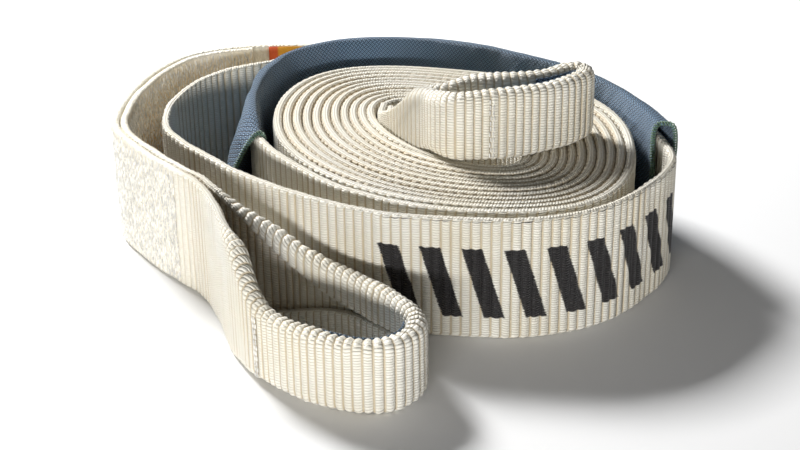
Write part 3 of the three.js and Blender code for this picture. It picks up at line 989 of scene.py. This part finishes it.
def make_cloth_material(name):
    """Blue-grey cloth with painted shade in the gaps between its yarns and a faint worn bloom."""
    material, nodes, shader = start_material(name)
    across, along = nodes.uv_parts("weave")
    weave = place_group(nodes, BASKET_WEAVE, Across=across, Along=along)
    tone = place_group(nodes, SLOW_TONE, Size=30.0)["Tone"]
    worn = nodes.blend(nodes.maths("MULTIPLY", tone, 0.5), CLOTH_LIGHT, CLOTH_PALE)
    # The gaps between yarns are painted dark as shade.
    colour = nodes.blend(nodes.maths("MULTIPLY", weave["Gap"], 0.95), worn, CLOTH_GAP_SHADE)
    nodes.join(colour, shader.inputs["Base Color"])
    nodes.join(nodes.between(weave["Gap"], 0.42, 0.8), shader.inputs["Roughness"])
    shader.inputs["Specular IOR Level"].default_value = 0.5
    shader.inputs["Sheen Weight"].default_value = 0.25
    shader.inputs["Sheen Roughness"].default_value = 0.35
    nodes.bump(weave["Height"], YARN_HEIGHT, shader)
    return material


SLEEVE_CLOTH = make_cloth_material("blue-grey sleeve cloth")

# %% [markdown]
# The sleeve hangs round the webbing. Its section is a closed loop that is rounded at its top fold.
# At the left end its outer wall bulges at mid-height and its top drops. At the right end it flares.
# Slow creases run through it.

# %% The sleeve
SLEEVE_WIDTH = 88.0
SLEEVE_WALL = 1.1
SLEEVE_EASE = 0.5
SLEEVE_SLACK = 1.1
LEFT_BULGE = 17.0
BULGE_REACH = 42.0
LEFT_DROP = 9.0
DROP_REACH = 13.0
RIGHT_FLARE = 4.5
FLARE_REACH = 26.0
SLEEVE_SKEW = 3.0


def sleeved_part(run):
    """The stations of the sleeved turn between the sleeve's two ends."""
    angle = clock_of(run, LEAVE_CLOCK)
    keep = (angle >= SLEEVE_START - 0.2) & (angle <= SLEEVE_END + 0.2)
    return {key: values[keep] for key, values in run.items()}


def cloth_uv(points, along):
    """The UV grid of cloth: yarns round the section, from its mean lengths, and yarns along it."""
    across = distance_round(points) / YARN
    return np.stack(np.broadcast_arrays(across[None], (along / YARN)[:, None]), axis=-1)


def sleeve_grid(run):
    """The sleeve's outer surface: a loop that is half-round at the top and bottom, with creases. The
    outer wall bulges at mid-height near the left end, and the top stands off near the right end."""
    around = np.linspace(0, 2 * math.pi, 97)[:-1]
    along = run["along"] - run["along"][0]
    length = along[-1]
    near_start = np.exp(-((along / BULGE_REACH) ** 1.5))[:, None]
    near_end = np.exp(-(((length - along) / FLARE_REACH) ** 1.3))[:, None]
    at_start = np.exp(-((along / DROP_REACH) ** 2))[:, None]
    slack = SLEEVE_SLACK * (1 + wander(along, 71, 83.0))[:, None] * (1 - at_start)
    half_depth = STRAP_THICKNESS / 2 + SLEEVE_EASE + SLEEVE_WALL + slack
    cosine, sine = np.cos(around)[None], np.sin(around)[None]
    boxy = lambda value, power: np.sign(value) * np.abs(value) ** power
    side = boxy(cosine, 0.5)
    level = boxy(sine, 0.8)
    belly = np.cos(level * math.pi / 2) ** 0.8
    top = ((1 + level) / 2) ** 3
    outward = half_depth + LEFT_BULGE * near_start * belly + RIGHT_FLARE * near_end * top
    inward = half_depth + 0.6 * RIGHT_FLARE * near_end * top
    crease = 0.8 * wander(along[:, None] + 22 * level, 73, 37.0)
    crease = crease + 0.35 * wander(along[:, None] - 31 * level, 75, 13.0)
    sideways = np.where(side > 0, outward, inward) * side + crease * np.abs(side)
    upwards = SLEEVE_WIDTH / 2 * (1 + level) - LEFT_DROP * at_start * (1 + level) / 2
    skew = SLEEVE_SKEW * near_end * side * top
    ahead = np.stack([run["across"][:, 1], -run["across"][:, 0]], axis=1)
    plan = run["place"][:, None] + run["across"][:, None] * sideways[..., None]
    plan = plan + ahead[:, None] * skew[..., None]
    points = np.concatenate([plan, upwards[..., None]], axis=2)
    return points, cloth_uv(points, along)


def open_tube_mesh(name, points, uv):
    """A tube with open ends from a grid of points; its faces point outwards."""
    rows, columns, _ = points.shape
    quads = grid_faces(rows, columns)
    mesh = bpy.data.meshes.new(name)
    mesh.from_pydata((points.reshape(-1, 3) * MM).tolist(), [], quads.tolist())
    corners = np.stack([uv[:-1, :-1], uv[:-1, 1:], uv[1:, 1:], uv[1:, :-1]], axis=2)
    layer = mesh.uv_layers.new(name="weave")
    layer.data.foreach_set("uv", corners.astype(np.float32).ravel())
    mesh.polygons.foreach_set("use_smooth", np.ones(len(quads), bool))
    mesh.update()
    return mesh


def make_sleeve():
    run = sleeved_part(sleeve_run)
    points, uv = sleeve_grid(run)
    piece = add_piece("protective_sleeve", open_tube_mesh("protective_sleeve", points, uv), SLEEVE_CLOTH)
    wall = piece.modifiers.new("wall", "SOLIDIFY")
    wall.thickness = SLEEVE_WALL * MM
    wall.offset = -1.0
    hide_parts("sleeve")
    return points


sleeve_points = make_sleeve()

# %% [markdown]
# The sleeve's two open ends are overlocked: a dark green thread winds round each cut edge. It is a
# thin tube along a helix, whose middle line is the sleeve's end ring.

# %% The thread round the sleeve's ends
THREAD_TURNS = 110
THREAD_REACH = 1.25
THREAD_RADIUS = 0.55
THREAD_STEPS = 8


def tube_parts(line, radius, sides=5):
    """Points and quads of a closed tube round a closed line of points."""
    ahead = unit(np.roll(line, -1, axis=0) - np.roll(line, 1, axis=0))
    side = unit(np.cross(ahead, np.roll(ahead, -3, axis=0) + 1e-3))
    other = np.cross(ahead, side)
    turn = np.linspace(0, 2 * math.pi, sides + 1)[:-1]
    ring = np.cos(turn)[None, :, None] * side[:, None] + np.sin(turn)[None, :, None] * other[:, None]
    points = line[:, None] + radius * ring
    rows = np.arange(len(line))[:, None]
    here, after = np.arange(sides)[None], (np.arange(sides) + 1)[None] % sides
    following = (rows + 1) % len(line)
    quads = np.stack(
        [rows * sides + here, rows * sides + after, following * sides + after, following * sides + here],
        axis=-1,
    )
    return points.reshape(-1, 3), quads.reshape(-1, 4)


def plain_mesh(name, parts):
    """One smooth mesh from several lists of points and faces, in millimetres."""
    points, faces, first = [], [], 0
    for part_points, part_faces in parts:
        points.append(part_points)
        faces.append(part_faces + first)
        first += len(part_points)
    mesh = bpy.data.meshes.new(name)
    mesh.from_pydata((np.concatenate(points) * MM).tolist(), [], np.concatenate(faces).tolist())
    mesh.polygons.foreach_set("use_smooth", np.ones(len(mesh.polygons), bool))
    mesh.update()
    return mesh


def helix_round(ring, inside_ring):
    """A helix round a closed ring of points: it goes from the outside of the cloth to the inside."""
    closed = np.concatenate([ring, ring[:1]])
    lengths = distance_along(closed)
    count = THREAD_TURNS * THREAD_STEPS
    at = np.arange(count) / count * lengths[-1]
    middle = resampled(at, lengths, closed)
    inside = resampled(at, lengths, np.concatenate([inside_ring, inside_ring[:1]]))
    along = unit(middle - inside)
    tangent = unit(np.roll(middle, -1, axis=0) - np.roll(middle, 1, axis=0))
    out = np.cross(tangent, along)
    phase = (2 * math.pi * np.arange(count) / THREAD_STEPS)[:, None]
    shift = THREAD_REACH * (np.cos(phase) * along + np.sin(phase) * out)
    line = middle - 0.4 * along + shift
    line[:, 2] = np.maximum(line[:, 2], THREAD_RADIUS)
    return line


def make_thread_material(name, colour, roughness):
    """Plain twisted thread: one colour, a little sheen."""
    material, nodes, shader = start_material(name)
    tone = place_group(nodes, SLOW_TONE, Size=260.0)["Tone"]
    darker = tuple(0.6 * c for c in colour[:3]) + (1.0,)
    nodes.join(nodes.blend(tone, darker, colour), shader.inputs["Base Color"])
    shader.inputs["Roughness"].default_value = roughness
    shader.inputs["Sheen Weight"].default_value = 0.3
    return material


GREEN_THREAD = make_thread_material("dark green overlock thread", (0.08, 0.17, 0.10, 1.0), 0.55)
WHITE_THREAD = make_thread_material("white sewing thread", (0.93, 0.91, 0.85, 1.0), 0.45)


def make_overlock():
    parts = [
        tube_parts(helix_round(sleeve_points[0], sleeve_points[3]), THREAD_RADIUS),
        tube_parts(helix_round(sleeve_points[-1], sleeve_points[-4]), THREAD_RADIUS),
    ]
    piece = add_piece("sleeve_overlock", plain_mesh("sleeve_overlock", parts), GREEN_THREAD)


make_overlock()

# %% [markdown]
# Each eye has a liner of the sleeve's cloth against its inner side, and a small woven label lies on
# the splice's inner face. All three are thin strips that follow a part of a run.

# %% The liners and the label
STRIP_THICKNESS = 1.2
LINER_HEIGHT = 38.0
LABEL_HEIGHT = 34.0
LABEL_THICKNESS = 0.8
LABEL_CLOCKS = (499.6, 506.4)
LABEL_EASE = 0.9
LABEL_INSET = 1.0
LABEL_YELLOW = (0.92, 0.46, 0.02, 1.0)
LABEL_ORANGE = (0.85, 0.13, 0.015, 1.0)
# Painted shade for the gaps between the label's yarns.
LABEL_GAP_SHADE = (0.35, 0.04, 0.01, 1.0)
LINER_FLOOR = 3.5
LINER_EASE = 0.9
OUTER_LINER_ENDS = split_places(8, 13)
INNER_LINER_ENDS = (INNER_EYE_LOOP[3][:2], INNER_EYE_LOOP[12][:2])


def nearest_station(run, place):
    """The number of the station that is nearest to a place, told from the coil's middle."""
    return int(np.argmin(np.linalg.norm(run["place"] - COIL_MIDDLE - np.asarray(place), axis=1)))


def stretch_of_run(run, first, last):
    """The stations of a run from one number to another."""
    return {key: values[first : last + 1] for key, values in run.items()}


def strip_grid(run, sideways, thickness, low, high, seed):
    """A thin strip beside a run: a closed section with flat faces, slightly wavy."""
    share, turn = section_loop(14, 3)
    middle, half = (low + high) / 2, (high - low) / 2
    wave = 0.35 * wander(run["along"][:, None] + 15 * share[None], seed, 19.0)
    off = sideways + wave + thickness / 2 * np.cos(turn)[None]
    upwards = middle + half * share[None] + thickness / 2 * np.sin(turn)[None]
    upwards = np.broadcast_to(upwards, off.shape)
    plan = run["place"][:, None] + run["across"][:, None] * off[..., None]
    points = np.concatenate([plan, upwards[..., None]], axis=2)
    return points, {"weave": cloth_uv(points, run["along"] - run["along"][0])}


def add_strip(name, node, material, run, sideways, thickness, low, high, seed):
    points, uv = strip_grid(run, sideways, thickness, low, high, seed)
    piece = add_piece(name, closed_mesh(name, points, uv, {}), material)
    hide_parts(node)


def make_liners():
    """A strip against the inner side of each eye, between two chosen places of its loop."""
    beside = FOLD_RADIUS + STRAP_THICKNESS / 2 + LINER_EASE
    rows = [
        ("outer_liner_cloth", "outer_eye_liner", outer_eye_run, OUTER_LINER_ENDS, LINER_FLOOR, 81),
        (
            "inner_liner_cloth", "inner_eye_liner", inner_eye_run, INNER_LINER_ENDS,
            STRAP_WIDTH + CONTACT_GAP + LINER_FLOOR, 83,
        ),
    ]
    for name, node, run, ends, low, seed in rows:
        first, last = [nearest_station(run, place) for place in ends]
        stretch = stretch_of_run(run, first, last)
        add_strip(
            name, node, SLEEVE_CLOTH, stretch, beside, STRIP_THICKNESS,
            low, low + LINER_HEIGHT, seed,
        )


def make_label_material():
    """Orange woven label with a yellow band, both plain, with painted shade in the gaps between its yarns.
    """
    material, nodes, shader = start_material("orange and yellow label cloth")
    across, along = nodes.uv_parts("weave")
    weave = place_group(
        nodes, BASKET_WEAVE, Across=nodes.maths("MULTIPLY", across, 3.0),
        Along=nodes.maths("MULTIPLY", along, 3.0),
    )
    colour = nodes.blend(nodes.ramp(along, 13.0, 14.0), LABEL_YELLOW, LABEL_ORANGE)
    # The gaps between the label's yarns are painted darker as shade.
    colour = nodes.blend(nodes.maths("MULTIPLY", weave["Gap"], 0.4), colour, LABEL_GAP_SHADE)
    nodes.join(colour, shader.inputs["Base Color"])
    shader.inputs["Roughness"].default_value = 0.6
    return material


def make_label():
    angle = clock_of(outer_eye_run, HAIRPIN)
    first = int(np.argmax(angle <= LABEL_CLOCKS[1]))
    last = int(np.argmax(angle <= LABEL_CLOCKS[0]))
    stretch = stretch_of_run(outer_eye_run, first, last)
    beside = STRAP_THICKNESS / 2 + LABEL_EASE
    top = STRAP_WIDTH - LABEL_INSET
    add_strip(
        "label_cloth", "label", make_label_material(), stretch, beside, LABEL_THICKNESS,
        top - LABEL_HEIGHT, top, 85,
    )


make_liners()
make_label()

# %% [markdown]
# The splice is sewn through both layers with hundreds of short, upright stitches, and each eye has a
# seam. A stitch is a small capsule that lies on the webbing's face.

# %% The sewing thread
STITCH_RINGS = np.array([[-1.0, 0.35], [-0.82, 0.85], [0.0, 1.0], [0.82, 0.85], [1.0, 0.35]])
STITCH_SIDES = 5
UPWARDS = (0.0, 0.0, 1.0)
EDGE_CLEARANCE = 3.0
SPLICE_STITCH = (2.5, 0.6)
SEAM_STITCH = (1.5, 0.55)
STITCH_COLUMN = 2.3
STITCH_ROW = 5.6
SEAM_STEP = 3.4
SEAM_REACH = (5.0, 42.0)
SEAM_LINES = (0.0, 1.8)


def stitch_parts(middle, along, out, half_length, radius):
    """Capsules at middle (n, 3): five rings of points each, along one direction and flat to another."""
    across = np.cross(along, out)
    turn = np.linspace(0, 2 * math.pi, STITCH_SIDES + 1)[:-1]
    spin = np.cos(turn)[None, :, None] * across[:, None] + 0.8 * np.sin(turn)[None, :, None] * out[:, None]
    points = (
        middle[:, None, None]
        + half_length * STITCH_RINGS[None, :, None, :1] * along[:, None, None]
        + radius * STITCH_RINGS[None, :, None, 1:] * spin[:, None]
    )
    rings = len(STITCH_RINGS)
    ring = np.arange(rings - 1)[:, None] * STITCH_SIDES
    here = np.arange(STITCH_SIDES)[None]
    after = (here + 1) % STITCH_SIDES
    above = ring + STITCH_SIDES
    quads = np.stack([ring + here, above + here, above + after, ring + after], axis=-1).reshape(-1, 4)
    first = (np.arange(len(middle)) * rings * STITCH_SIDES)[:, None, None]
    return points.reshape(-1, 3), (quads[None] + first).reshape(-1, 4)


def on_face(run, along, height, sideways):
    """Places on a run's face and the unit vectors out of the face, for arrays of along and height."""
    place = resampled(along, run["along"], run["place"])
    across = resampled(along, run["along"], run["across"])
    drift = np.interp(along, run["along"], run["drift"])
    middle = np.column_stack([place + across * (np.asarray(sideways) + drift)[:, None], height])
    out = np.column_stack([across * np.sign(sideways)[:, None], np.zeros(len(along))])
    return middle, out


def splice_stitches(random):
    """Upright stitches on both outer faces of the doubled webbing, in staggered rows."""
    sewn = outer_eye_run["stitched"] > 0.6
    length = outer_eye_run["along"]
    first_half = length < length[-1] / 2
    parts = []
    for layer in (sewn & first_half, sewn & ~first_half):
        start, end = length[layer].min(), length[layer].max()
        columns = np.arange(start, end, STITCH_COLUMN)
        rows = np.arange(EDGE_CLEARANCE + 1, STRAP_WIDTH - EDGE_CLEARANCE, STITCH_ROW)
        along, height = np.meshgrid(columns, rows, indexing="ij")
        height = height + STITCH_ROW / 2 * (np.arange(len(columns)) % 2)[:, None]
        along = along.ravel() + random.normal(0, 0.25, along.size)
        height = height.ravel() + random.normal(0, 0.5, height.size)
        keep = (height < STRAP_WIDTH - EDGE_CLEARANCE) & (along > start) & (along < end)
        along, height = along[keep], height[keep]
        face = np.full(len(along), -STRAP_THICKNESS / 2 - 0.1)
        middle, out = on_face(outer_eye_run, along, height, face)
        tilt = random.normal(0, 0.16, (len(along), 1))
        upright = unit(np.array([UPWARDS]) + tilt * np.cross(out, UPWARDS))
        parts.append(stitch_parts(middle, upright, out, *SPLICE_STITCH))
    return parts


def seam_stitches(run, along, base, sideways, random):
    """One upright seam of stitches, end to end, with a shallow zigzag."""
    height = np.arange(base + SEAM_REACH[0], base + SEAM_REACH[1], SEAM_STEP)
    count = len(height)
    along = np.full(count, along) + 0.4 * (np.arange(count) % 2) + random.normal(0, 0.12, count)
    middle, out = on_face(run, along, height, np.full(count, sideways))
    upright = np.tile(UPWARDS, (count, 1))
    return stitch_parts(middle, upright, out, *SEAM_STITCH)


def make_stitches():
    random = np.random.default_rng(91)
    parts = splice_stitches(random)
    outer_seam = outer_eye_run["along"][nearest_station(outer_eye_run, split_places(5, 6)[0])] + 8.0
    inner_seam = inner_eye_run["along"][nearest_station(inner_eye_run, INNER_EYE_LOOP[3][:2])] + 2.0
    face = -FOLD_RADIUS - STRAP_THICKNESS / 2 - 0.5
    for shift in SEAM_LINES:
        parts.append(seam_stitches(outer_eye_run, outer_seam + shift, 0.0, face, random))
        base = STRAP_WIDTH + CONTACT_GAP
        parts.append(seam_stitches(inner_eye_run, inner_seam + shift, base, face, random))
    piece = add_piece("sewing_thread", plain_mesh("sewing_thread", parts), WHITE_THREAD)


make_stitches()

# %% [markdown]
# The floor is plain and pale. One soft light from the left and behind gives the shadow towards the
# lower right. A wide, low light in front brightens the faces that the camera sees, but hardly reaches
# the floor, so the shadow stays dark. A faint white surround fills the rest.

# %% The floor and the lights
FLOOR_SIZE = 8.0
FLOOR_TONES = ((0.86, 0.86, 0.86, 1.0), (0.88, 0.88, 0.88, 1.0))
SURROUND = 0.085


def make_floor():
    mesh = bpy.data.meshes.new("floor")
    half = FLOOR_SIZE / 2
    corners = [(-half, -half, 0), (half, -half, 0), (half, half, 0), (-half, half, 0)]
    mesh.from_pydata(corners, [], [(0, 1, 2, 3)])
    floor = bpy.data.objects.new("floor", mesh)
    scene.collection.objects.link(floor)
    material, nodes, shader = start_material("pale studio floor")
    tone = place_group(nodes, SLOW_TONE, Size=3.0)["Tone"]
    nodes.join(nodes.blend(tone, *FLOOR_TONES), shader.inputs["Base Color"])
    shader.inputs["Roughness"].default_value = 0.9
    mesh.materials.append(material)


def make_light(name, place, target, width, height, power):
    """A rectangular area light at place that faces target."""
    data = bpy.data.lights.new(name, "AREA")
    data.shape = "RECTANGLE"
    data.size = width
    data.size_y = height
    data.energy = power
    light = bpy.data.objects.new(name, data)
    light.location = place
    light.rotation_mode = "QUATERNION"
    light.rotation_quaternion = (Vector(target) - Vector(place)).to_track_quat("-Z", "Y")
    scene.collection.objects.link(light)


def make_world():
    world = bpy.data.worlds.new("white studio")
    world.use_nodes = True
    background = world.node_tree.nodes["Background"]
    background.inputs["Color"].default_value = (1, 1, 1, 1)
    background.inputs["Strength"].default_value = SURROUND
    scene.world = world


make_floor()
make_light("key", (-0.75, 0.95, 1.1), (0.0, 0.0, 0.0), 0.4, 0.4, 47.0)
make_light("front fill", (-0.3, -1.6, 0.19), (0.0, 0.0, 0.04), 0.9, 0.16, 21.0)
make_world()
